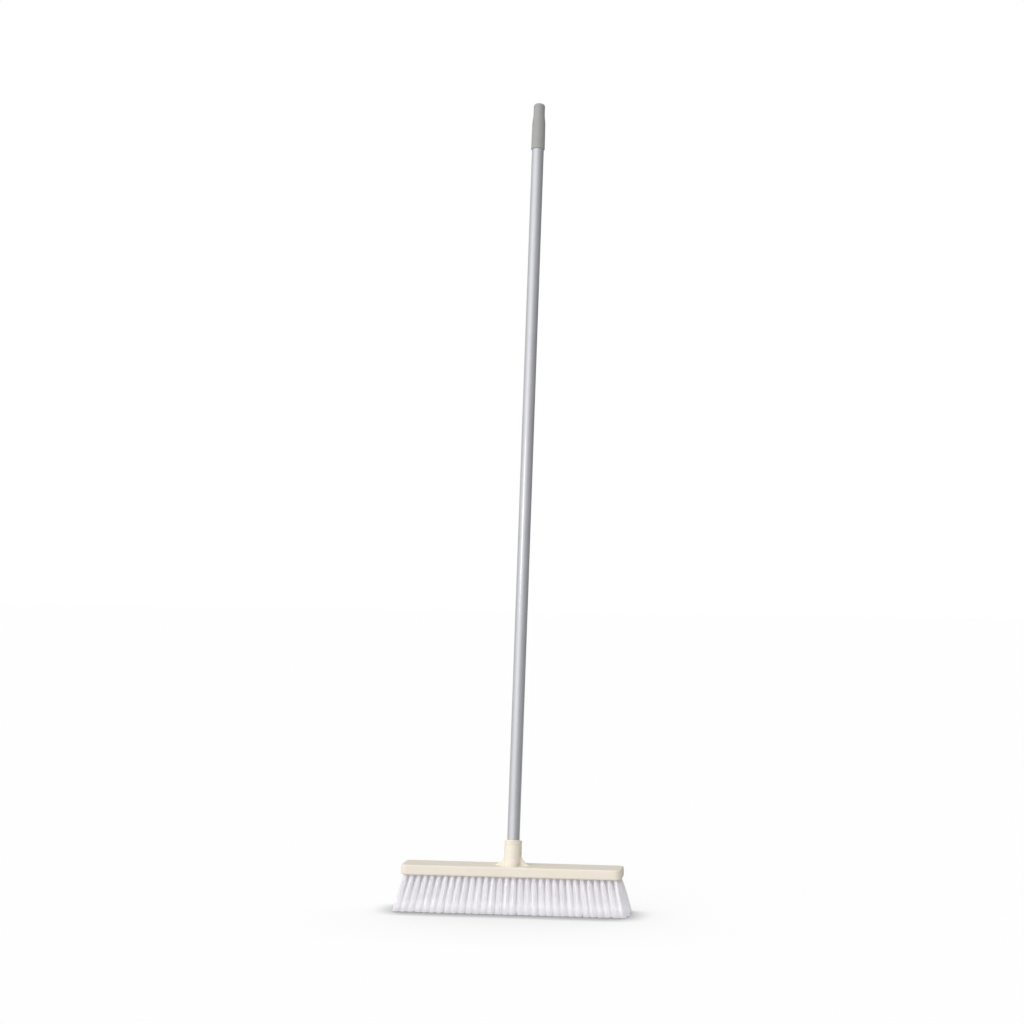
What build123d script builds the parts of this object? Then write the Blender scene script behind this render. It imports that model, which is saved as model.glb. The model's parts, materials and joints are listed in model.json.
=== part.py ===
from build123d import *
from math import cos, radians, sin, tan
import os

# Sizes are in millimetres and angles in degrees. The floor is z = 0, the head runs along X,
# the front row of tufts faces -Y and the handle leans back towards +Y.

# Head block, moulded in one piece with the handle socket
block_length = 390.0
block_width = 72.0
block_thickness = 17.5
block_corner_radius = 12.0
block_top_edge_radius = 2.5
block_bottom_edge_radius = 3.0
block_draft = 3.0

# Tufts: their free height, their rows from front to rear, and how far they fan out
bristle_trim = 63.0
row_names = ["front", "front_inner", "middle", "rear_inner", "rear"]
row_edge_margin = 7.0
outer_row_end_margin = 10.0
inner_row_end_margin = 7.0
tuft_pitch = 11.8
end_tuft_lean = 15.0
outer_row_lean = 15.0
tuft_hole_diameter = 5.0
tuft_hole_depth = 12.0
tuft_root_clearance = 0.1
tuft_root_end_gap = 0.5

# Each tuft is three strands of three sides, which part towards the floor
strands_per_tuft = 3
strand_sides = 3
strand_root_ring = 1.3
strand_root_radius = 1.0
strand_tip_ring = 3.4
strand_tip_radius = 1.8
strand_seat = 1.0
tuft_turn = 137.5

# The slice of the block's underside that joins a row's tufts
strip_thickness = 2.0
strip_edge = 0.8
strip_clearance = 0.1

# Flat wire anchors, driven across the tuft's fold into the wall of its hole
anchor_bite = 0.4
anchor_thickness = 0.4
anchor_height = 1.8
anchor_depth = 8.4
anchor_slot_clearance = 0.1

# Handle tube
handle_length = 1406.5
handle_lean = 11.5
tube_diameter = 22.0
tube_wall = 0.6

# Socket, measured along the handle's axis from the block's top
socket_height = 43.0
socket_wall = 4.0
socket_clearance = 0.4
socket_mouth_depth = 14.0
socket_floor = 2.0
socket_root_depth = 8.0
socket_rim_radius = 0.8
socket_ring_radius = 0.7
socket_ring_spacing = 4.0
socket_ring_count = 2

# Tongue at the socket's foot, which runs out across the block on a hollow curve of this power
tongue_height = 14.0
tongue_edge_margin = 4.0
tongue_sink = 0.6
tongue_power = 1.7
tongue_steps = 4

# Web along the block on each side of the socket, with a hollow upper edge
web_height = 14.0
web_reach = 19.5
web_hollow = 2.6
web_thickness = 9.0
web_sink = 2.0
web_edge_radius = 1.5

# Screw thread between the tip and the socket
thread_pitch = 5.0
thread_depth = 1.8
thread_step = 0.8
thread_root_width = 2.6
thread_crest_width = 1.2
thread_overlap = 0.3
thread_radial_clearance = 0.4
thread_flank_clearance = 0.3
thread_end_margin = 2.0

# Thread tip, crimped into the tube
tip_seat_gap = 0.3
tip_end_gap = 2.5
tip_flange_thickness = 2.0
tip_flange_step = 0.3
tip_shank_length = 32.0
tip_shank_clearance = 0.05
tip_chamfer = 1.5
tip_core_wall = 3.0
tip_core_floor = 6.0

# Crimps that hold the tip in the tube
crimp_count = 4
crimp_radius = 3.0
crimp_depth = 1.0
crimp_height = 6.0

# Grip
grip_length = 89.0
grip_wall = 1.6
grip_taper = 0.5
grip_clearance = 0.08
grip_bore_depth = 50.0
grip_seat_gap = 0.3
grip_shoulder_length = 18.5
grip_neck_diameter = 21.0
grip_neck_wall = 2.6
grip_top_radius = 5.5
grip_end_thickness = 20.0
grip_edge_radius = 0.7
hang_hole_diameter = 6.0
hang_hole_drop = 10.5

# Derived heights and radii of the head
block_top = bristle_trim + block_thickness
tube_radius = tube_diameter / 2
mouth_radius = tube_radius + socket_clearance
socket_radius = mouth_radius + socket_wall
tuft_hole_radius = tuft_hole_diameter / 2
tuft_root_radius = tuft_hole_radius - tuft_root_clearance
strip_width = tuft_hole_diameter + 2 * strip_edge
outer_row_y = block_width / 2 - row_edge_margin
outer_row_end_x = block_length / 2 - outer_row_end_margin
end_tuft_x = block_length / 2 - inner_row_end_margin

# The handle's axis rises from the block's top; its section plane holds radius and height along it
handle_direction = (0, sin(radians(handle_lean)), cos(radians(handle_lean)))
handle_plane = Plane(origin=(0, 0, block_top), x_dir=(1, 0, 0), z_dir=handle_direction)
handle_axis = Axis(handle_plane.origin, handle_plane.z_dir)
handle_section = Plane(handle_plane.origin, handle_plane.x_dir, -handle_plane.y_dir)

# Stations along the handle's axis
mouth_floor = socket_height - socket_mouth_depth
tip_bottom = socket_floor + tip_end_gap
flange_bottom = mouth_floor + tip_seat_gap
tube_bottom = flange_bottom + tip_flange_thickness
handle_top = tip_bottom + handle_length
grip_bottom = handle_top - grip_length
grip_bore_end = grip_bottom + grip_bore_depth
tube_top = grip_bore_end - grip_seat_gap
tube_length = tube_top - tube_bottom

# Thread radii: the tip's crest and core, and the socket's bore with its groove
crest_radius = tube_radius - thread_step
core_radius = crest_radius - thread_depth
bore_radius = core_radius + thread_radial_clearance
groove_radius = crest_radius + thread_radial_clearance


def row_tufts(row):
    """Root positions of one row, spread evenly; every other row has one tuft more, set in the gaps."""
    row_pitch = 2 * outer_row_y / (len(row_names) - 1)
    y = -outer_row_y + row * row_pitch
    end_x = outer_row_end_x if row in (0, len(row_names) - 1) else end_tuft_x
    gaps = int(2 * end_x // tuft_pitch) + row % 2
    return [(end_x * (2 * i / gaps - 1), y) for i in range(gaps + 1)]


def tuft_slopes(x, y):
    """Sideways run of a tuft for each millimetre that it goes down."""
    return tan(radians(end_tuft_lean * x / end_tuft_x)), tan(radians(outer_row_lean * y / outer_row_y))


def tuft_plane(x, y):
    """Plane across a tuft at the block's underside, facing up along the tuft's hole."""
    slope_x, slope_y = tuft_slopes(x, y)
    return Plane(origin=(x, y, bristle_trim), x_dir=(1, 0, 0), z_dir=(-slope_x, -slope_y, 1))


def strand(x, y, angle):
    """One straight strand from inside the backing strip to its flat end on the floor."""
    slope_x, slope_y = tuft_slopes(x, y)
    out_x = cos(radians(angle))
    out_y = sin(radians(angle))
    root = (x + strand_root_ring * out_x, y + strand_root_ring * out_y)
    floor_x = x + bristle_trim * slope_x + strand_tip_ring * out_x
    floor_y = y + bristle_trim * slope_y + strand_tip_ring * out_y
    with BuildPart() as one_strand:
        with BuildSketch(Plane.XY):
            with Locations((floor_x, floor_y)):
                RegularPolygon(strand_tip_radius, strand_sides, rotation=angle)
        with BuildSketch(Plane.XY.offset(bristle_trim + strand_seat)):
            with Locations(root):
                RegularPolygon(strand_root_radius, strand_sides, rotation=angle)
        loft(ruled=True)
    return one_strand.part


def thread_ridge(start, end, inner_radius, outer_radius, inner_width, outer_width):
    """Right-hand helical ridge on the handle's axis. Ridges of any length are in step with each other."""
    with BuildPart() as ridge:
        with BuildLine() as path:
            Helix(thread_pitch, end - start, inner_radius)
        with BuildSketch(Plane(path.line @ 0, x_dir=(1, 0, 0), z_dir=path.line % 0)):
            with BuildLine():
                Polyline(
                    (0, -inner_width / 2),
                    (outer_radius - inner_radius, -outer_width / 2),
                    (outer_radius - inner_radius, outer_width / 2),
                    (0, inner_width / 2),
                    close=True,
                )
            make_face()
        sweep(is_frenet=True)
    turn = radians(360 * start / thread_pitch)
    start_plane = Plane(
        handle_plane.from_local_coords((0, 0, start)),
        x_dir=handle_plane.x_dir * cos(turn) + handle_plane.y_dir * sin(turn),
        z_dir=handle_plane.z_dir,
    )
    return start_plane * ridge.part


def tongue_section(step):
    """Height of the tongue on its way up, and how far it reaches across the block there."""
    rise = step / tongue_steps
    height = (tongue_height + tongue_sink) * rise - tongue_sink
    top_reach = socket_radius - tongue_sink
    foot_reach = block_width / 2 - tongue_edge_margin
    return height, top_reach + (foot_reach - top_reach) * (1 - rise) ** tongue_power


def save(part, name):
    part.label = name
    export_step(part, f"parts/{name}.step")


os.makedirs("parts", exist_ok=True)

rows = [row_tufts(row) for row in range(len(row_names))]
all_tufts = [tuft for row in rows for tuft in row]

# Socket thread: a groove that starts below the tip's thread and runs out into the mouth
groove_slope = (thread_root_width - thread_crest_width) / thread_depth
groove_depth = groove_radius - bore_radius + thread_overlap
groove_crest_width = thread_crest_width + 2 * thread_flank_clearance
groove_root_width = groove_crest_width + groove_slope * groove_depth
socket_groove = thread_ridge(
    socket_floor + groove_root_width / 2 + thread_overlap,
    mouth_floor + groove_root_width,
    bore_radius - thread_overlap,
    groove_radius,
    groove_root_width,
    groove_crest_width,
)

# Hollow of the socket: threaded bore below, plain mouth for the tube above
with BuildPart() as socket_bore:
    with BuildSketch(handle_plane.offset(socket_floor)):
        Circle(bore_radius)
    extrude(amount=socket_height - socket_floor)
    add(socket_groove)
    with BuildSketch(handle_plane.offset(mouth_floor)):
        Circle(mouth_radius)
    extrude(amount=socket_mouth_depth)

# Both webs as one plate through the socket's axis
web_end = socket_radius + web_reach
with BuildPart() as socket_web:
    with BuildSketch(handle_section):
        with BuildLine():
            Line((-web_end, -web_sink), (web_end, -web_sink))
            SagittaArc((web_end, -web_sink), (socket_radius, web_height), web_hollow)
            Line((socket_radius, web_height), (-socket_radius, web_height))
            SagittaArc((-socket_radius, web_height), (-web_end, -web_sink), web_hollow)
        make_face()
    extrude(amount=web_thickness / 2, both=True)
    fillet(socket_web.edges().filter_by(GeomType.CIRCLE), web_edge_radius)

with BuildPart() as head_block:
    with BuildSketch(Plane.XY.offset(bristle_trim)):
        RectangleRounded(block_length, block_width, block_corner_radius)
    extrude(amount=block_thickness, taper=block_draft)
    fillet(head_block.faces().sort_by(Axis.Z)[-1].edges(), block_top_edge_radius)
    fillet(head_block.faces().sort_by(Axis.Z)[0].edges(), block_bottom_edge_radius)
    # Tongue, leaning with the socket and a little narrower than it
    for step in range(tongue_steps + 1):
        height, reach = tongue_section(step)
        with BuildSketch(Plane.XY.offset(block_top + height)):
            with Locations((0, height * tan(radians(handle_lean)))):
                Ellipse(socket_radius - 2 * tongue_sink, reach)
    loft()
    add(socket_web.part)
    # Socket
    with BuildSketch(handle_plane.offset(-socket_root_depth)):
        Circle(socket_radius)
    extrude(amount=socket_root_depth + socket_height)
    with BuildSketch(handle_section):
        for ring in range(socket_ring_count):
            with Locations((socket_radius, socket_height - (ring + 1) * socket_ring_spacing)):
                Circle(socket_ring_radius)
    revolve(axis=handle_axis, mode=Mode.SUBTRACT)
    add(socket_bore.part, mode=Mode.SUBTRACT)
    fillet(head_block.faces().sort_by(handle_axis)[-1].edges(), socket_rim_radius)
    # Pockets for the backing strips, and the blind tuft holes above them
    with BuildSketch(Plane.XY.offset(bristle_trim)):
        for tufts in rows:
            with Locations((0, tufts[0][1])):
                SlotCenterToCenter(tufts[-1][0] - tufts[0][0], strip_width + 2 * strip_clearance)
    extrude(amount=strip_thickness, mode=Mode.SUBTRACT)
    with BuildSketch(*[tuft_plane(x, y).offset(strip_thickness / 2) for x, y in all_tufts]):
        Circle(tuft_hole_radius)
    extrude(amount=tuft_hole_depth - strip_thickness / 2, mode=Mode.SUBTRACT)
save(head_block.part, "head_block")

for row_name, tufts in zip(row_names, rows):
    strands = [
        strand(x, y, tuft_turn * number + 360 * share / strands_per_tuft)
        for number, (x, y) in enumerate(tufts)
        for share in range(strands_per_tuft)
    ]
    tuft_planes = [tuft_plane(x, y) for x, y in tufts]
    # Tufts of one row: strands below the strip, folded roots above it with a slot for the anchor
    with BuildPart() as bristle_row:
        with BuildSketch(Plane.XY.offset(bristle_trim)):
            with Locations((0, tufts[0][1])):
                SlotCenterToCenter(tufts[-1][0] - tufts[0][0], strip_width)
        extrude(amount=strip_thickness)
        with BuildSketch(*[plane.offset(strip_thickness / 2) for plane in tuft_planes]):
            Circle(tuft_root_radius)
        extrude(amount=tuft_hole_depth - tuft_root_end_gap - strip_thickness / 2)
        with BuildSketch(*[plane.offset(anchor_depth - anchor_slot_clearance) for plane in tuft_planes]):
            Rectangle(2 * tuft_hole_diameter, anchor_thickness + 2 * anchor_slot_clearance)
        extrude(amount=anchor_height + 2 * anchor_slot_clearance, mode=Mode.SUBTRACT)
        add(strands)
    save(bristle_row.part, f"bristles_{row_name}")

    with BuildPart() as anchor_row:
        with BuildSketch(*[plane.offset(anchor_depth) for plane in tuft_planes]):
            Rectangle(tuft_hole_diameter + 2 * anchor_bite, anchor_thickness)
        extrude(amount=anchor_height)
    save(anchor_row.part, f"anchors_{row_name}")

# Crimps: balls whose centres lie outside the tube, so that they dent its wall inwards
crimp_centre = tube_radius + crimp_radius - crimp_depth
crimp_plane = handle_plane.offset(tube_bottom + crimp_height)
with BuildPart() as tube_bore:
    with BuildSketch(handle_plane.offset(tube_bottom)):
        Circle(tube_radius - tube_wall)
    extrude(amount=tube_length)
    with Locations(crimp_plane):
        with PolarLocations(crimp_centre, crimp_count):
            Sphere(crimp_radius + tube_wall, mode=Mode.SUBTRACT)

with BuildPart() as handle_tube:
    with BuildSketch(handle_plane.offset(tube_bottom)):
        Circle(tube_radius)
    extrude(amount=tube_length)
    add(tube_bore.part, mode=Mode.SUBTRACT)
    with Locations(crimp_plane):
        with PolarLocations(crimp_centre, crimp_count):
            Sphere(crimp_radius, mode=Mode.SUBTRACT)
save(handle_tube.part, "handle_tube")

tip_ridge = thread_ridge(
    tip_bottom + thread_end_margin,
    flange_bottom - thread_end_margin,
    core_radius - thread_overlap,
    crest_radius,
    thread_root_width + thread_overlap * groove_slope,
    thread_crest_width,
)
shank_radius = tube_radius - tube_wall - tip_shank_clearance
shank_top = tube_bottom + tip_shank_length
tip_core_radius = core_radius - tip_core_wall

with BuildPart() as thread_tip:
    with BuildSketch(handle_section):
        with BuildLine():
            Polyline(
                (0, tip_bottom),
                (core_radius - tip_chamfer, tip_bottom),
                (core_radius, tip_bottom + tip_chamfer),
                (core_radius, flange_bottom),
                (tube_radius - tip_flange_step, flange_bottom),
                (tube_radius - tip_flange_step, tube_bottom),
                (shank_radius, tube_bottom),
                (shank_radius, shank_top - tip_chamfer),
                (shank_radius - tip_chamfer, shank_top),
                (tip_core_radius, shank_top),
                (tip_core_radius, tip_bottom + tip_core_floor),
                (0, tip_bottom + tip_core_floor),
                close=True,
            )
        make_face()
    revolve(axis=handle_axis)
    with Locations(crimp_plane):
        with PolarLocations(crimp_centre, crimp_count):
            Sphere(crimp_radius + tube_wall + tip_shank_clearance, mode=Mode.SUBTRACT)
    add(tip_ridge)
save(thread_tip.part, "thread_tip")

grip_bore_radius = tube_radius + grip_clearance
grip_radius = grip_bore_radius + grip_wall
neck_radius = grip_neck_diameter / 2
neck_bottom = grip_bore_end + grip_shoulder_length
grip_core_radius = neck_radius - grip_neck_wall
hang_hole_plane = Plane(
    handle_plane.from_local_coords((0, 0, handle_top - hang_hole_drop)),
    x_dir=handle_plane.y_dir,
    z_dir=handle_plane.x_dir,
)

with BuildPart() as grip:
    with BuildSketch(handle_section):
        with BuildLine():
            Polyline((0, handle_top), (0, handle_top - grip_end_thickness))
            Polyline(
                (0, handle_top - grip_end_thickness),
                (grip_core_radius, handle_top - grip_end_thickness),
                (grip_core_radius, grip_bore_end),
                (grip_bore_radius, grip_bore_end),
                (grip_bore_radius, grip_bottom),
                (grip_radius, grip_bottom),
                (grip_radius - grip_taper, grip_bore_end),
            )
            Spline(
                (grip_radius - grip_taper, grip_bore_end),
                (neck_radius, neck_bottom),
                tangents=[(-grip_taper, grip_bore_depth), (0, 1)],
            )
            Line((neck_radius, neck_bottom), (neck_radius, handle_top - grip_top_radius))
            RadiusArc(
                (neck_radius, handle_top - grip_top_radius),
                (neck_radius - grip_top_radius, handle_top),
                -grip_top_radius,
            )
            Line((neck_radius - grip_top_radius, handle_top), (0, handle_top))
        make_face()
    revolve(axis=handle_axis)
    fillet(grip.faces().sort_by(handle_axis)[0].edges(), grip_edge_radius)
    with BuildSketch(hang_hole_plane):
        Circle(hang_hole_diameter / 2)
    extrude(amount=grip_radius, both=True, mode=Mode.SUBTRACT)
save(grip.part, "grip")
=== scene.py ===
import bpy
import json
from functools import partial
from math import pi, radians, sqrt, tan
from mathutils import Matrix, Vector

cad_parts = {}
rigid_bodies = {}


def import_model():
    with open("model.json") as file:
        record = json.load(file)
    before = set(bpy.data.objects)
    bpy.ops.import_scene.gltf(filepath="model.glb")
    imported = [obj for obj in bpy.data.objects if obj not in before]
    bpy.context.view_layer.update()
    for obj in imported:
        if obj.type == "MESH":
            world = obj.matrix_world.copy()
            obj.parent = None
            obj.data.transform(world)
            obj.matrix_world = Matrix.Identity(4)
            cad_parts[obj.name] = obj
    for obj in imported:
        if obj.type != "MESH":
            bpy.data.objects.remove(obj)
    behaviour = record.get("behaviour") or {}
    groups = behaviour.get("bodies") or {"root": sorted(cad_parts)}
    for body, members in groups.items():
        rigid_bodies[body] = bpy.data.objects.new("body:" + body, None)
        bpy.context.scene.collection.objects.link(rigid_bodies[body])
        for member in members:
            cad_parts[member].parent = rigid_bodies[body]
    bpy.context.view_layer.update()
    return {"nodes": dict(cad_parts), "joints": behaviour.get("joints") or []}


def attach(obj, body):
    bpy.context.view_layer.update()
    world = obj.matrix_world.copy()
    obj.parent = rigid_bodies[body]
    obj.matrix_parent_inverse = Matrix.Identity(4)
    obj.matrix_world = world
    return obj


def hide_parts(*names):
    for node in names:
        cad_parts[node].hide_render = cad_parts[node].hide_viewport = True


for leftover in list(bpy.data.objects):  # an empty scene, so that only the frame is measured
    bpy.data.objects.remove(leftover)
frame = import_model()
nodes = frame["nodes"]
mm = 0.001
print("frame loaded:", len(nodes), "nodes")


def linearColour(hexText):
    channels = [int(hexText[i:i + 2], 16) / 255 for i in (1, 3, 5)]
    return [c / 12.92 if c <= 0.04045 else ((c + 0.055) / 1.055) ** 2.4 for c in channels] + [1.0]


# Adds a node with its settings. Inputs come by name, or in the order that the node shows them, and a socket
# is linked where a number is set. Gives the node's first shown output.
def addNode(tree, kind, inputs=(), **settings):
    node = tree.nodes.new(kind)
    for name, value in settings.items():
        setattr(node, name, value)
    if not isinstance(inputs, dict):
        shown = [i for i, socket in enumerate(node.inputs) if socket.enabled]
        inputs = dict(zip(shown, inputs))
    for key, value in inputs.items():
        if isinstance(value, bpy.types.NodeSocket):
            tree.links.new(value, node.inputs[key])
        elif value is not None:
            node.inputs[key].default_value = value
    return next((socket for socket in node.outputs if socket.enabled), None)


def perMetre(sizeInMm):  # how often a pattern of that size repeats in a metre
    return 1 / (sizeInMm * mm)


# Finishes

usualNoise = (0.3, 0.7)  # nearly all of a noise pattern lies between these
noiseDetail = {"drift": 3.0, "grain": 2.0, "streak": 2.0, "lines": 4.0}  # finer steps within a pattern


def newFinish(name, shaderInputs):  # a material from what goes into its shader
    material = bpy.data.materials.new(name)
    material.use_nodes = True
    tree = material.node_tree
    tree.nodes.clear()
    place = addNode(tree, "ShaderNodeTexCoord").node.outputs["Object"]
    shader = addNode(tree, "ShaderNodeBsdfPrincipled", shaderInputs(partial(addNode, tree), place))
    addNode(tree, "ShaderNodeOutputMaterial", {"Surface": shader})
    return material


# Injection-moulded polypropylene in cream: waxy half gloss, a slow drift of pigment, a faint mould grain
creamPolypropylene = {
    "light": "#F3EBDD", "dark": "#EBE2D2",
    "drift": 40.0,           # mm
    "grain": 1.6,            # mm, drawn coarser than the real 0.2 so that it shows
    "grainHeight": 0.05,     # mm
    "grainStrength": 0.3,
    "gloss": (0.37, 0.49),   # roughness, from and to
    "ior": 1.49,
}
# Polypropylene from a spark-eroded mould in mid grey: matte, with a fine even pimple
greyPolypropylene = {
    "light": "#A9A9A7", "dark": "#9D9D9B",
    "drift": 18.0,
    "grain": 1.1,            # mm, drawn coarser than the real 0.15
    "grainHeight": 0.12,
    "grainStrength": 0.3,
    "gloss": (0.5, 0.68),
    "ior": 1.49,
}
# Moulded nylon in dark grey: denser and a little glossier than the grip
greyNylon = {
    "light": "#8E9094", "dark": "#808286",
    "drift": 9.0,
    "grain": 0.9,
    "grainHeight": 0.02,
    "grainStrength": 0.3,
    "gloss": (0.33, 0.45),
    "ior": 1.53,
}


def mouldedPlastic(look, add, place):
    drift, grain = (
        add("ShaderNodeTexNoise", {
            "Vector": place, "Scale": perMetre(look[pattern]), "Detail": noiseDetail[pattern],
        })
        for pattern in ("drift", "grain")
    )
    shades = (drift, linearColour(look["light"]), linearColour(look["dark"]))
    return {
        "Base Color": add("ShaderNodeMix", shades, data_type="RGBA"),
        "Roughness": add("ShaderNodeMapRange", (grain, *usualNoise, *look["gloss"])),
        "Normal": add("ShaderNodeBump", {
            "Height": grain, "Strength": look["grainStrength"], "Distance": look["grainHeight"] * mm,
        }),
        "IOR": look["ior"],
    }


# Extruded polyester filament: cool white with a soft shine, and a painted glow that keeps the shade between
# the tufts pale and lifts their ends by the floor
polyesterFilament = {
    "light": "#FAF9FA", "dark": "#EEEDF0",
    # colour of the painted glow
    "paintedGlowColour": "#FBF8FF",
    "paintedGlow": (0.22, 0.115),  # painted glow at the filaments' ends on the floor, and above them
    "paintedGlowFade": 26.0,              # mm, height over which the painted glow falls from its value at the floor to the one above
    "streak": (2.2, 2.2, 30.0),    # mm, filaments that lie together, lighter or darker
    "gloss": (0.42, 0.58),
    "ior": 1.57,
}


def extrudedFilament(look, add, place):
    scale = [perMetre(size) for size in look["streak"]]
    stretched = add("ShaderNodeMapping", {"Vector": place, "Scale": scale})
    streak = add("ShaderNodeTexNoise", {"Vector": stretched, "Scale": 1.0, "Detail": noiseDetail["streak"]})
    shades = (streak, linearColour(look["light"]), linearColour(look["dark"]))
    height = add("ShaderNodeSeparateXYZ", (place,)).node.outputs["Z"]
    paintedGlowFade = look["paintedGlowFade"] * mm
    return {
        "Base Color": add("ShaderNodeMix", shades, data_type="RGBA"),
        "Roughness": add("ShaderNodeMapRange", (streak, *usualNoise, *look["gloss"])),
        "IOR": look["ior"],
        # A painted glow that lifts the tufts' shade, strongest at the floor
        "Emission Color": linearColour(look["paintedGlowColour"]),
        "Emission Strength": add("ShaderNodeMapRange", (height, 0.0, paintedGlowFade, *look["paintedGlow"])),
    }


# Drawn aluminium tube, satin anodised and sealed: a broad soft sheen, a clear thin streak where a lamp
# is mirrored in the sealed skin, and faint lines along the draw
anodisedAluminium = {
    "light": "#C4C5C9", "dark": "#B9BABF",
    "drift": 55.0,
    "lines": (0.9, 0.9, 140.0),   # mm, drawn wider than the real 0.1
    "lineHeight": 0.015,
    "lineStrength": 0.2,
    "gloss": (0.5, 0.62),
    "metal": 0.5,                 # the oxide skin scatters the other half of the light
    "seal": 0.8,
    "sealGloss": 0.14,
}


def drawnTube(look, add, place):
    axis = Vector(next(joint["axis"] for joint in frame["joints"] if joint["name"] == "handle_lift"))
    lean = Vector((0, 0, 1)).angle(axis)
    along = add("ShaderNodeMapping", {"Vector": place, "Rotation": (lean, 0, 0)})
    scale = [perMetre(size) for size in look["lines"]]
    stretched = add("ShaderNodeMapping", {"Vector": along, "Scale": scale})
    lines = add("ShaderNodeTexNoise", {"Vector": stretched, "Scale": 1.0, "Detail": noiseDetail["lines"]})
    drift = add("ShaderNodeTexNoise", {
        "Vector": along, "Scale": perMetre(look["drift"]), "Detail": noiseDetail["drift"],
    })
    shades = (drift, linearColour(look["light"]), linearColour(look["dark"]))
    return {
        "Base Color": add("ShaderNodeMix", shades, data_type="RGBA"),
        "Roughness": add("ShaderNodeMapRange", (lines, *usualNoise, *look["gloss"])),
        "Normal": add("ShaderNodeBump", {
            "Height": lines, "Strength": look["lineStrength"], "Distance": look["lineHeight"] * mm,
        }),
        "Metallic": look["metal"],
        "Coat Weight": look["seal"],
        "Coat Roughness": look["sealGloss"],
    }


# Flat galvanised wire: dull bright zinc in small crystal patches
galvanisedSteel = {
    "light": "#C9CBCB", "dark": "#A9ACAE",
    "spangle": 1.5,
    "gloss": (0.38, 0.55),
}


def galvanisedWire(look, add, place):
    spangle = add("ShaderNodeTexVoronoi", {"Vector": place, "Scale": perMetre(look["spangle"])})
    shades = (spangle, linearColour(look["light"]), linearColour(look["dark"]))
    return {
        "Base Color": add("ShaderNodeMix", shades, data_type="RGBA"),
        "Roughness": add("ShaderNodeMapRange", (spangle, 0.0, 1.0, *look["gloss"])),
        "Metallic": 1.0,
    }


finishes = {
    "block_plastic": newFinish("moulded cream polypropylene", partial(mouldedPlastic, creamPolypropylene)),
    "bristle_filament": newFinish(
        "extruded polyester filament", partial(extrudedFilament, polyesterFilament),
    ),
    "anchor_wire": newFinish("galvanised steel wire", partial(galvanisedWire, galvanisedSteel)),
    "tube_metal": newFinish("drawn anodised aluminium", partial(drawnTube, anodisedAluminium)),
    "tip_plastic": newFinish("moulded grey nylon", partial(mouldedPlastic, greyNylon)),
    "grip_plastic": newFinish("textured grey polypropylene", partial(mouldedPlastic, greyPolypropylene)),
}
for cadNode in nodes.values():
    for materialSlot in cadNode.material_slots:
        materialSlot.material = finishes[materialSlot.material.name.split(".")[0]]
print("finishes:", ", ".join(finish.name for finish in finishes.values()))


# Tufts: every filament of a row, from inside its hole down to the trimmed end

tuftSizes = {
    "rows": {"front": 32, "front_inner": 33, "middle": 32, "rear_inner": 33, "rear": 32},
    "trim": 63.0,             # mm, underside of the block above the floor
    "outerRowEnd": 185.0,     # mm from the middle to the last tuft of an outer row
    "innerRowEnd": 188.0,
    "outerRowPlace": 29.0,    # mm from the middle line to an outer row
    "endLean": 13.5,          # degrees at the last tuft
    "outerRowLean": 12.5,     # degrees at an outer row
    "leanJitter": 0.014,      # slope
    "seat": 4.0,              # mm, how far up its hole a filament starts
    "filaments": 200,         # in a tuft
    "filamentRadius": 0.21,   # mm
    "rootRadius": 2.3,        # mm
    "tipRadius": 6.8,         # mm
    "rowFill": 4.0,           # mm that a tuft is wider across the row, to fill the room to the next
    "opening": 0.52,          # under 1 opens the tuft early
    "bow": 1.2,               # mm
    "trimScatter": 1.0,       # mm, uneven ends
    "heart": 0.78,            # share of the tuft's radius where its filaments press into one body
    "heartShort": 1.0,        # mm, how far the heart stops above the floor
    "filamentSides": 3,
    "heartSides": 10,
    "bends": 4,               # straight lengths that make up a filament's curve
    "seed": 11,
}


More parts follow.
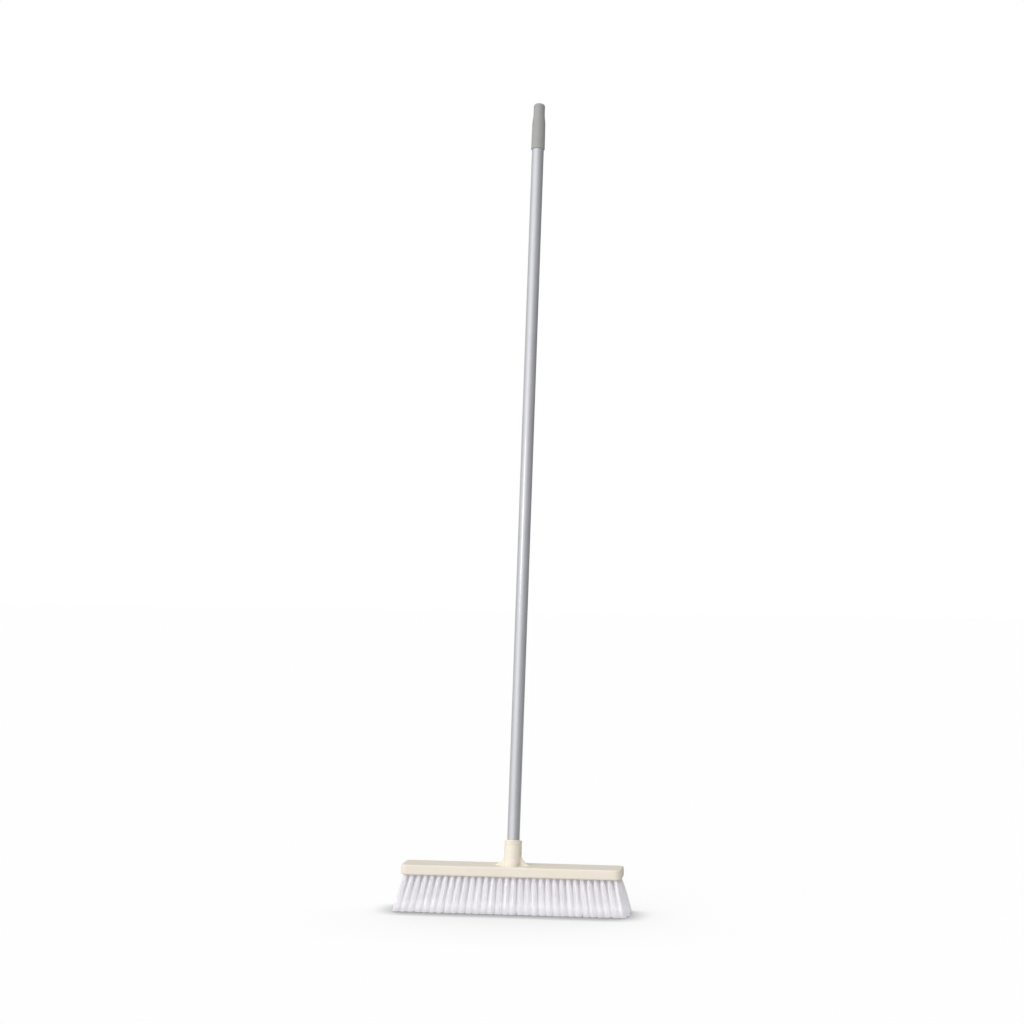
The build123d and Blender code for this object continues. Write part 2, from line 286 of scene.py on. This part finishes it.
def tuftRowTree():
    tree = bpy.data.node_groups.new("tuftRow", "GeometryNodeTree")
    for name, kind in (
        ("Tufts", "Int"), ("Row Start", "Vector"), ("Row End", "Vector"), ("End Slope", "Float"),
        ("Side Slope", "Float"), ("Lean Jitter", "Float"), ("Trim", "Float"), ("Seat", "Float"),
        ("Filaments", "Int"), ("Filament Radius", "Float"), ("Root Radius", "Float"), ("Tip Radius", "Float"),
        ("Row Fill", "Float"), ("Opening", "Float"), ("Bow", "Float"), ("Trim Scatter", "Float"),
        ("Heart", "Float"), ("Heart Short", "Float"), ("Seed", "Int"), ("Material", "Material"),
    ):
        tree.interface.new_socket(name, in_out="INPUT", socket_type="NodeSocket" + kind)
    tree.interface.new_socket("Geometry", in_out="OUTPUT", socket_type="NodeSocketGeometry")
    add = partial(addNode, tree)
    given = add("NodeGroupInput").node.outputs
    goldenTurn = pi * (3 - sqrt(5))
    anyWay = ((-1, -1, 0), (1, 1, 0), None, given["Seed"])

    # Roots along the row on the block's underside, each with its own slope
    roots = add("GeometryNodeMeshLine", {
        "Count": given["Tufts"], "Start Location": given["Row Start"], "Offset": given["Row End"],
    }, mode="END_POINTS")
    rootPlace = add("GeometryNodeInputPosition")
    rootX = add("ShaderNodeSeparateXYZ", (rootPlace,))
    slopeX = add("ShaderNodeMath", (rootX, given["End Slope"]), operation="MULTIPLY")
    slope = add("ShaderNodeCombineXYZ", (slopeX, given["Side Slope"], -1.0))
    wobble = add("FunctionNodeRandomValue", anyWay, data_type="FLOAT_VECTOR")
    slope = add("ShaderNodeVectorMath", (wobble, given["Lean Jitter"], slope), operation="MULTIPLY_ADD")
    tuftTurn = add("FunctionNodeRandomValue", (0.0, 2 * pi, None, given["Seed"]), data_type="FLOAT")
    for name, value, kind in (
        ("tuftRoot", rootPlace, "FLOAT_VECTOR"),
        ("tuftSlope", slope, "FLOAT_VECTOR"),
        ("tuftTurn", tuftTurn, "FLOAT"),
    ):
        roots = add("GeometryNodeStoreNamedAttribute", (roots, None, name, value), data_type=kind)

    # Filaments of each tuft, set out in a golden spiral so that they fill its round evenly
    copies = add("GeometryNodeDuplicateElements", {
        "Geometry": roots, "Amount": given["Filaments"],
    }, domain="POINT")
    number = copies.node.outputs["Duplicate Index"]
    share = add("ShaderNodeMath", (number, given["Filaments"]), operation="DIVIDE")
    reach = add("ShaderNodeMath", (share,), operation="SQRT")
    ray = add("ShaderNodeCombineXYZ", (reach, 0.0, 0.0))
    ownTurn = add("GeometryNodeInputNamedAttribute", ("tuftTurn",), data_type="FLOAT")
    turn = add("ShaderNodeMath", (number, goldenTurn, ownTurn), operation="MULTIPLY_ADD")
    spread = add("ShaderNodeVectorRotate", {"Vector": ray, "Angle": turn}, rotation_type="Z_AXIS")
    bow = add("FunctionNodeRandomValue", anyWay, data_type="FLOAT_VECTOR")
    cut = add("FunctionNodeRandomValue", (0.0, given["Trim Scatter"], None, given["Seed"]), data_type="FLOAT")
    for name, value, kind in (
        ("tuftSpread", spread, "FLOAT_VECTOR"),
        ("tuftBow", bow, "FLOAT_VECTOR"),
        ("tuftCut", cut, "FLOAT"),
    ):
        copies = add("GeometryNodeStoreNamedAttribute", (copies, None, name, value), data_type=kind)

    # A heart is as thick as a set share of its tuft
    hearts = roots
    for name, value in (("tuftThick", given["Heart"]), ("tuftCut", given["Heart Short"])):
        hearts = add("GeometryNodeStoreNamedAttribute", (hearts, None, name, value), data_type="FLOAT")

    # A filament is a three-sided prism and a heart a rounder one, and each remembers how far along and
    # across it a corner lies
    bodies = []
    for points, sides in ((copies, tuftSizes["filamentSides"]), (hearts, tuftSizes["heartSides"])):
        prism = add("GeometryNodeMeshCylinder", {
            "Vertices": sides, "Side Segments": tuftSizes["bends"], "Radius": 1.0, "Depth": 1.0,
        }, fill_type="NGON")
        corner = add("GeometryNodeInputPosition")
        height = add("ShaderNodeSeparateXYZ", (corner,)).node.outputs[2]
        along = add("ShaderNodeMath", (0.5, height), operation="SUBTRACT")
        across = add("ShaderNodeVectorMath", (corner, (1, 1, 0)), operation="MULTIPLY")
        for name, value, kind in (("tuftAlong", along, "FLOAT"), ("tuftAcross", across, "FLOAT_VECTOR")):
            prism = add("GeometryNodeStoreNamedAttribute", (prism, None, name, value), data_type=kind)
        bodies.append(add("GeometryNodeInstanceOnPoints", {"Points": points, "Instance": prism}))
    both = add("GeometryNodeJoinGeometry", {"Geometry": bodies[0]})
    tree.links.new(bodies[1], both.node.inputs["Geometry"])
    tufts = add("GeometryNodeRealizeInstances", {"Geometry": both})

    # Each corner's depth below the underside, and its place at that depth
    own = {
        name: add("GeometryNodeInputNamedAttribute", ("tuft" + name,), data_type=kind)
        for name, kind in (
            ("Root", "FLOAT_VECTOR"), ("Slope", "FLOAT_VECTOR"), ("Spread", "FLOAT_VECTOR"),
            ("Bow", "FLOAT_VECTOR"), ("Across", "FLOAT_VECTOR"),
            ("Along", "FLOAT"), ("Cut", "FLOAT"), ("Thick", "FLOAT"),
        )
    }
    whole = add("ShaderNodeMath", (given["Trim"], given["Seat"]), operation="ADD")
    length = add("ShaderNodeMath", (whole, own["Cut"]), operation="SUBTRACT")
    drop = add("ShaderNodeMath", (own["Along"], length), operation="MULTIPLY")
    depth = add("ShaderNodeMath", (drop, given["Seat"]), operation="SUBTRACT")
    below = add("ShaderNodeMath", (depth, 0.0), operation="MAXIMUM")
    way = add("ShaderNodeMath", (below, given["Trim"]), operation="DIVIDE")
    opened = add("ShaderNodeMath", (way, given["Opening"]), operation="POWER")
    radius = add("ShaderNodeMapRange", (opened, 0.0, 1.0, given["Root Radius"], given["Tip Radius"]))
    halfTurn = add("ShaderNodeMath", (way, pi), operation="MULTIPLY")
    arch = add("ShaderNodeMath", (halfTurn,), operation="SINE")
    bend = add("ShaderNodeMath", (arch, given["Bow"]), operation="MULTIPLY")
    girth = add("ShaderNodeMath", (own["Thick"], radius, given["Filament Radius"]), operation="MULTIPLY_ADD")
    place = add("ShaderNodeVectorMath", (own["Slope"], depth, own["Root"]), operation="MULTIPLY_ADD")
    for direction, distance in ((own["Spread"], radius), (own["Bow"], bend), (own["Across"], girth)):
        place = add("ShaderNodeVectorMath", (direction, distance, place), operation="MULTIPLY_ADD")
    sideways = add("ShaderNodeVectorMath", (
        own["Across"], own["Thick"], own["Spread"],
    ), operation="MULTIPLY_ADD")
    fill = add("ShaderNodeMath", (opened, given["Row Fill"]), operation="MULTIPLY")
    fill = add("ShaderNodeCombineXYZ", (0.0, fill, 0.0))
    place = add("ShaderNodeVectorMath", (sideways, fill, place), operation="MULTIPLY_ADD")
    tufts = add("GeometryNodeSetPosition", {"Geometry": tufts, "Position": place})
    tufts = add("GeometryNodeRemoveAttribute", {"Geometry": tufts, "Name": "tuft*"}, pattern_mode="WILDCARD")
    tufts = add("GeometryNodeSetShadeSmooth", {"Geometry": tufts})
    tufts = add("GeometryNodeSetMaterial", {"Geometry": tufts, "Material": given["Material"]})
    add("NodeGroupOutput", {"Geometry": tufts})
    return tree


def plainMesh(name, tree, values):  # what the tree makes from those inputs, as a plain mesh piece
    shell = bpy.data.objects.new(name + "_nodes", bpy.data.meshes.new(name + "_nodes"))
    bpy.context.scene.collection.objects.link(shell)
    modifier = shell.modifiers.new(tree.name, "NODES")
    modifier.node_group = tree
    for item in tree.interface.items_tree:
        if item.in_out == "INPUT":
            modifier[item.identifier] = values[item.name]
    made = shell.evaluated_get(bpy.context.evaluated_depsgraph_get())
    mesh = bpy.data.meshes.new_from_object(made)
    mesh.name = name
    bpy.data.objects.remove(shell)
    piece = bpy.data.objects.new(name, mesh)
    bpy.context.scene.collection.objects.link(piece)
    return piece


# Backing strips: the block's own underside round a row of tuft holes, which closes the slots left in
# the block

stripSizes = {
    "width": 6.6,      # mm
    "thickness": 2.0,
    "hole": 5.0,
    "weld": 0.001,     # mm, corners closer than this are one
    "endPoints": 26,   # corners of the two round ends together
    "holePoints": 14,
}


def backingStripTree():
    tree = bpy.data.node_groups.new("backingStrip", "GeometryNodeTree")
    for name, kind in (
        ("Tufts", "Int"), ("Half Length", "Float"), ("Place", "Vector"), ("Width", "Float"),
        ("Thickness", "Float"), ("Hole", "Float"), ("Weld", "Float"), ("End Points", "Int"),
        ("Hole Points", "Int"), ("Material", "Material"),
    ):
        tree.interface.new_socket(name, in_out="INPUT", socket_type="NodeSocket" + kind)
    tree.interface.new_socket("Geometry", in_out="OUTPUT", socket_type="NodeSocketGeometry")
    add = partial(addNode, tree)
    given = add("NodeGroupInput").node.outputs

    # Outline: a circle pulled apart by the row's length
    halfWidth = add("ShaderNodeMath", (given["Width"], 0.5), operation="MULTIPLY")
    outline = add("GeometryNodeCurvePrimitiveCircle", {
        "Resolution": given["End Points"], "Radius": halfWidth,
    })
    outlineX = add("ShaderNodeSeparateXYZ", (add("GeometryNodeInputPosition"),))
    side = add("ShaderNodeMath", (outlineX,), operation="SIGN")
    pull = add("ShaderNodeMath", (side, given["Half Length"]), operation="MULTIPLY")
    outline = add("GeometryNodeSetPosition", {
        "Geometry": outline, "Offset": add("ShaderNodeCombineXYZ", (pull, 0.0, 0.0)),
    })

    # Holes along the row
    rowEnd = add("ShaderNodeCombineXYZ", (given["Half Length"], 0.0, 0.0))
    rowStart = add("ShaderNodeVectorMath", (rowEnd, (-1, -1, -1)), operation="MULTIPLY")
    places = add("GeometryNodeMeshLine", {
        "Count": given["Tufts"], "Start Location": rowStart, "Offset": rowEnd,
    }, mode="END_POINTS")
    holeRadius = add("ShaderNodeMath", (given["Hole"], 0.5), operation="MULTIPLY")
    hole = add("GeometryNodeCurvePrimitiveCircle", {"Resolution": given["Hole Points"], "Radius": holeRadius})
    holes = add("GeometryNodeInstanceOnPoints", {"Points": places, "Instance": hole})
    holes = add("GeometryNodeRealizeInstances", {"Geometry": holes})
    edges = add("GeometryNodeJoinGeometry", {"Geometry": outline})
    tree.links.new(holes, edges.node.inputs["Geometry"])

    # One flat face, raised to the strip's thickness and closed below
    sheet = add("GeometryNodeFillCurve", {"Curve": edges})
    raised = add("GeometryNodeExtrudeMesh", {
        "Mesh": sheet, "Offset": (0, 0, 1), "Offset Scale": given["Thickness"], "Individual": False,
    })
    strip = add("GeometryNodeJoinGeometry", {"Geometry": raised})
    tree.links.new(add("GeometryNodeFlipFaces", {"Mesh": sheet}), strip.node.inputs["Geometry"])
    strip = add("GeometryNodeMergeByDistance", {"Geometry": strip, "Distance": given["Weld"]})
    strip = add("GeometryNodeSetPosition", {"Geometry": strip, "Offset": given["Place"]})
    strip = add("GeometryNodeRealizeInstances", {"Geometry": strip})
    strip = add("GeometryNodeSetMaterial", {"Geometry": strip, "Material": given["Material"]})
    add("NodeGroupOutput", {"Geometry": strip})
    return tree


def makeTufts():
    size = tuftSizes
    tuftTree = tuftRowTree()
    stripTree = backingStripTree()
    middle = len(size["rows"]) // 2
    for number, (row, tufts) in enumerate(size["rows"].items()):
        outward = (number - middle) / middle
        rowEnd = size["outerRowEnd"] if abs(outward) == 1 else size["innerRowEnd"]
        rowPlace = outward * size["outerRowPlace"]
        piece = plainMesh("tufts_" + row, tuftTree, {
            "Tufts": tufts,
            "Row Start": Vector((-rowEnd, rowPlace, size["trim"])) * mm,
            "Row End": Vector((rowEnd, rowPlace, size["trim"])) * mm,
            "End Slope": tan(radians(size["endLean"])) / (size["innerRowEnd"] * mm),
            "Side Slope": tan(radians(size["outerRowLean"] * outward)),
            "Lean Jitter": size["leanJitter"],
            "Trim": size["trim"] * mm,
            "Seat": size["seat"] * mm,
            "Filaments": size["filaments"],
            "Filament Radius": size["filamentRadius"] * mm,
            "Root Radius": size["rootRadius"] * mm,
            "Tip Radius": size["tipRadius"] * mm,
            "Row Fill": size["rowFill"] * mm,
            "Opening": size["opening"],
            "Bow": size["bow"] * mm,
            "Trim Scatter": size["trimScatter"] * mm,
            "Heart": size["heart"],
            "Heart Short": size["heartShort"] * mm,
            "Seed": size["seed"] + number,
            "Material": finishes["bristle_filament"],
        })
        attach(piece, "head")
        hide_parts("bristles_" + row)
        strip = plainMesh("backing_" + row, stripTree, {
            "Tufts": tufts,
            "Half Length": rowEnd * mm,
            "Place": Vector((0, rowPlace, size["trim"])) * mm,
            "Width": stripSizes["width"] * mm,
            "Thickness": stripSizes["thickness"] * mm,
            "Hole": stripSizes["hole"] * mm,
            "Weld": stripSizes["weld"] * mm,
            "End Points": stripSizes["endPoints"],
            "Hole Points": stripSizes["holePoints"],
            "Material": finishes["block_plastic"],
        })
        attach(strip, "head")
        print("row", row, "with", len(piece.data.polygons), "faces and a strip of", len(strip.data.polygons))


makeTufts()


# Stage: floor, light and camera

stageLook = {
    "reach": 14.0,           # m
    "drop": 0.0004,          # m, just under the filaments' ends
    "floor": "#A0A0A0",
    "roughness": 0.9,
    "shine": 0.0,
    "glow": (0.36, 0.68),    # lifts the floor to the room's white, in the broom's painted shade and in the open
    "bounce": 0.33,          # what of that reaches the broom
    "shade": 0.35,           # m, how far the painted soft shade reaches
    "contact": 0.045,        # m, how far the painted dark line at the filaments' ends reaches
    "contactDepth": 2.0,     # over 1 darkens that line
    "shadeLean": (0.0, 0.77, 0.64),  # to the rear and up, where the floor looks for what shades it
    "skyMiddle": 0.32,       # light of the room, on the average
    "skyLeft": 0.3,          # more from the left than from the right
    "skyFront": 0.15,
    "skyTop": 0.5,
}


def paintedFloor(look, add, place):
    # The glow that the camera sees is dimmed near the broom: a painted soft shade and a painted dark line at
    # the filaments' ends
    lean = add("ShaderNodeCombineXYZ", look["shadeLean"])
    wide, near = (
        add("ShaderNodeAmbientOcclusion", {"Distance": reach, "Normal": lean}).node.outputs["AO"]
        for reach in (look["shade"], look["contact"])
    )
    glow = add("ShaderNodeMapRange", (wide, 0.0, 1.0, *look["glow"]))
    line = add("ShaderNodeMath", (near, look["contactDepth"]), operation="POWER")
    glow = add("ShaderNodeMath", (glow, line), operation="MULTIPLY")
    seen = add("ShaderNodeLightPath").node.outputs["Is Camera Ray"]
    return {
        "Base Color": linearColour(look["floor"]),
        "Roughness": look["roughness"],
        "Specular IOR Level": look["shine"],
        "Emission Color": (1, 1, 1, 1),
        "Emission Strength": add("ShaderNodeMix", (seen, look["bounce"], glow)),
    }


def makeStage():
    look = stageLook
    square = ((-1, -1), (1, -1), (1, 1), (-1, 1))
    corners = [(x * look["reach"], y * look["reach"], -look["drop"]) for x, y in square]
    mesh = bpy.data.meshes.new("floor")
    mesh.from_pydata(corners, [], [(0, 1, 2, 3)])
    mesh.materials.append(newFinish("matte white studio floor", partial(paintedFloor, look)))
    floor = bpy.data.objects.new("floor", mesh)
    bpy.context.scene.collection.objects.link(floor)

    # The room is white to look at, and lights the broom more from the left and above than from the right
    world = bpy.data.worlds.new("studio")
    world.use_nodes = True
    tree = world.node_tree
    tree.nodes.clear()
    add = partial(addNode, tree)
    direction = add("ShaderNodeTexCoord").node.outputs["Generated"]
    slant = (-look["skyLeft"], -look["skyFront"], look["skyTop"])
    gain = add("ShaderNodeVectorMath", (direction, slant), operation="DOT_PRODUCT").node.outputs["Value"]
    level = add("ShaderNodeMath", (gain, look["skyMiddle"]), operation="ADD", use_clamp=True)
    seen = add("ShaderNodeLightPath").node.outputs["Is Camera Ray"]
    strength = add("ShaderNodeMath", (level, seen), operation="MAXIMUM")
    sky = add("ShaderNodeBackground", {"Color": (1, 1, 1, 1), "Strength": strength})
    add("ShaderNodeOutputWorld", {"Surface": sky})
    bpy.context.scene.world = world


# Places and sizes are in metres. The handle's lamp only shines, and draws the thin streak on the tube.
lamps = {
    "key": {
        "kind": "SUN", "place": (-2.1, -3.3, 2.0), "aim": (0.0, 0.0, 0.0), "power": 1.55,
        "angle": radians(90),
    },
    "handle": {
        "kind": "AREA", "place": (-1.5, -2.3, 1.8), "aim": (0.0, 0.1, 0.7), "power": 1.6,
        "size": 0.4, "spread": radians(60), "shineOnly": True,
    },
}


def makeLights():
    for name, lamp in lamps.items():
        light = bpy.data.lights.new(name, lamp["kind"])
        light.energy = lamp["power"]
        for setting in ("angle", "size", "spread"):
            if setting in lamp:
                setattr(light, setting, lamp[setting])
        body = bpy.data.objects.new(name, light)
        body.visible_diffuse = not lamp.get("shineOnly")
        body.location = lamp["place"]
        beam = Vector(lamp["aim"]) - Vector(lamp["place"])
        body.rotation_euler = beam.to_track_quat("-Z", "Y").to_euler()
        bpy.context.scene.collection.objects.link(body)


photoCamera = {
    "place": (0.5675, -4.6183, 0.6990),  # m
    "turn": 7.103,                       # degrees to the left of straight on
    "rise": 0.034,                       # degrees
    "roll": 0.651,                       # degrees
    "focus": 2644.0,                     # pixels of the photo's frame
    "frame": 1024.0,                     # pixels
    "sensor": 36.0,                      # mm
}


def makeCamera():
    view = photoCamera
    lens = bpy.data.cameras.new("photo camera")
    lens.sensor_width = view["sensor"]
    lens.lens = view["focus"] / view["frame"] * view["sensor"]
    camera = bpy.data.objects.new("photo camera", lens)
    turned = Matrix.Rotation(radians(view["turn"]), 4, "Z")
    raised = Matrix.Rotation(radians(90 + view["rise"]), 4, "X")
    rolled = Matrix.Rotation(radians(view["roll"]), 4, "Z")
    camera.matrix_world = Matrix.Translation(view["place"]) @ turned @ raised @ rolled
    bpy.context.scene.collection.objects.link(camera)
    bpy.context.scene.camera = camera
    bpy.context.scene.view_settings.view_transform = "Standard"


makeStage()
makeLights()
makeCamera()
print("stage, lights and camera set")
